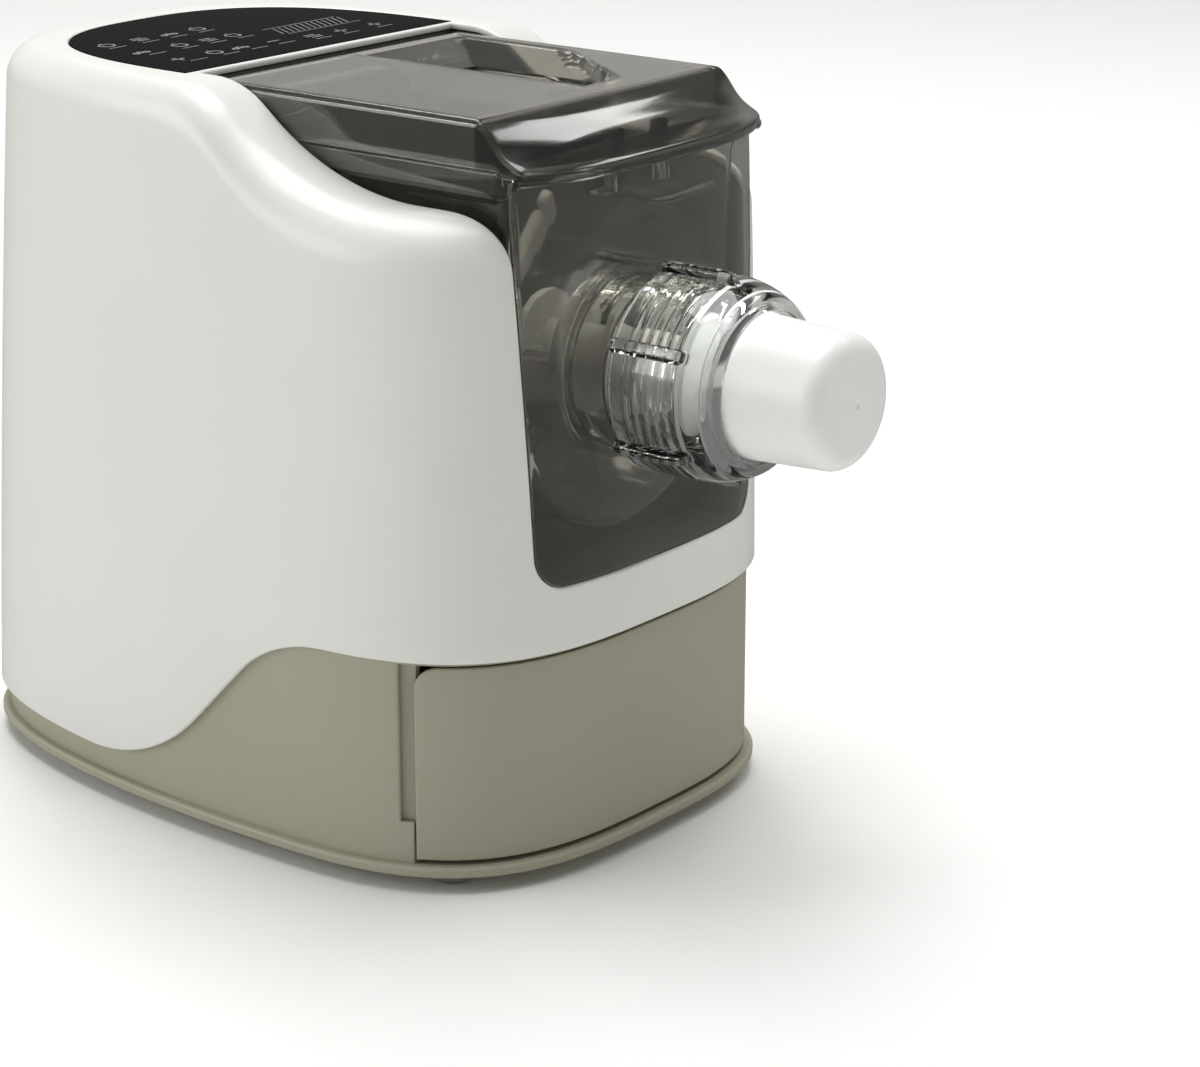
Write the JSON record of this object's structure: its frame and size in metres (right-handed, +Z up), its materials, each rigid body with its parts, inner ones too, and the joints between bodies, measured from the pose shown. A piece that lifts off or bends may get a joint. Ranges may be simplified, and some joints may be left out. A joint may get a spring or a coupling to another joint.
{
  "type": "electric pasta maker",
  "caption": "Worktop pasta extruder: rounded white housing, smoked lid and window over a mixing tub with paddle and screw, clear nut with die cap, touch panel and storage drawer.",
  "frame": {"origin": "middle of the footprint's bounding box on the surface it stands on", "axes": "+Z up, the nozzle and the smoked window face -Y, +X is on the right in the front view"},
  "size_m": [0.211, 0.3766, 0.274],
  "materials": {
    "white_shell": "glossy, moulded ABS",
    "greige_base": "satin, moulded ABS",
    "grey_rubber": "matte",
    "grey_plastic": "moulded",
    "white_plastic": "moulded",
    "smoked_plastic": "clear smoked, polished",
    "frosted_plastic": "translucent, satin",
    "clear_plastic": "clear, polished",
    "silicone": "matte silicone",
    "panel_black": "glossy printed glass-like panel",
    "circuit_board": "lacquered laminate",
    "steel": "turned or pressed",
    "bronze": "sintered",
    "nylon_gear": "moulded nylon or acetal",
    "case_plastic": "glass-filled nylon",
    "lamination": "stacked steel sheet",
    "orange_plastic": "moulded"
  },
  "bodies": {
    "housing": {"outer_shell": "white_shell", "base_plate": "greige_base", "base_housing": "greige_base", "foot_front_left": "grey_rubber", "foot_front_right": "grey_rubber", "foot_rear_left": "grey_rubber", "foot_rear_right": "grey_rubber", "tub_cradle": "grey_plastic", "bay_frame": "grey_plastic", "hinge_pins": "steel", "mixing_tub": "smoked_plastic", "front_window": "smoked_plastic", "barrel": "smoked_plastic", "die_seal": "silicone", "shaft_seal": "silicone", "touch_panel": "panel_black", "control_board": "circuit_board", "power_board": "circuit_board", "cord_gland": "grey_rubber", "drawer_rails": "grey_plastic", "gearbox_case": "case_plastic", "gearbox_cover": "case_plastic", "idler_pin": "steel", "shaft_bush": "bronze", "motor_can": "steel", "motor_stator": "lamination", "motor_bearings": "bronze", "motor_saddle": "grey_plastic", "lid_switch": "grey_plastic", "base_screws": "steel"},
    "drawer": {"drawer_front": "greige_base", "drawer_tray": "grey_plastic"},
    "lid": {"lid": "smoked_plastic"},
    "switch_pin": {"switch_pin": "orange_plastic"},
    "die": {"die_cap": "white_plastic"},
    "nut": {"fixing_nut": "clear_plastic"},
    "rotor": {"motor_shaft": "steel", "motor_rotor": "lamination", "motor_pinion": "steel", "motor_fan": "white_plastic"},
    "idler": {"idler_gear": "nylon_gear"},
    "screw_drive": {"screw": "white_plastic", "paddle": "frosted_plastic", "drive_shaft": "steel", "output_gear": "nylon_gear"}
  },
  "joints": [
    {"name": "drawer_slide", "type": "slide", "parent": "housing", "child": "drawer", "axis": [0, -1, 0], "range_m": [0, 0.1]},
    {"name": "lid_hinge", "type": "hinge", "parent": "housing", "child": "lid", "pos_m": [0, 0.04134, 0.2651], "axis": [-1, 0, 0], "range_deg": [0, 75]},
    {"name": "switch_slide", "type": "slide", "parent": "housing", "child": "switch_pin", "axis": [0, -1, 0], "range_m": [0, 0.0025]},
    {"name": "nut_turn", "type": "hinge", "parent": "die", "child": "nut", "pos_m": [0, -0.13, 0.1772], "axis": [0, -1, 0], "range_deg": [0, 540]},
    {"name": "die_slide", "type": "slide", "parent": "housing", "child": "die", "axis": [0, -1, 0], "range_m": [0, 0.018]},
    {"name": "rotor_spin", "type": "hinge", "parent": "housing", "child": "rotor", "pos_m": [0, 0.12, 0.09245], "axis": [0, 1, 0], "continuous": true},
    {"name": "idler_spin", "type": "hinge", "parent": "housing", "child": "idler", "pos_m": [0.03398, 0.07, 0.12775], "axis": [0, 1, 0], "continuous": true},
    {"name": "screw_spin", "type": "hinge", "parent": "housing", "child": "screw_drive", "pos_m": [0, 0, 0.1772], "axis": [0, 1, 0], "continuous": true}
  ],
  "couplings": [
    {"joint": "switch_slide", "follows": "lid_hinge", "m_per_rad": 0.001909},
    {"joint": "die_slide", "follows": "nut_turn", "m_per_rad": 0.0019098},
    {"joint": "idler_spin", "follows": "rotor_spin", "ratio": -0.16667},
    {"joint": "screw_spin", "follows": "rotor_spin", "ratio": 0.041667}
  ]
}
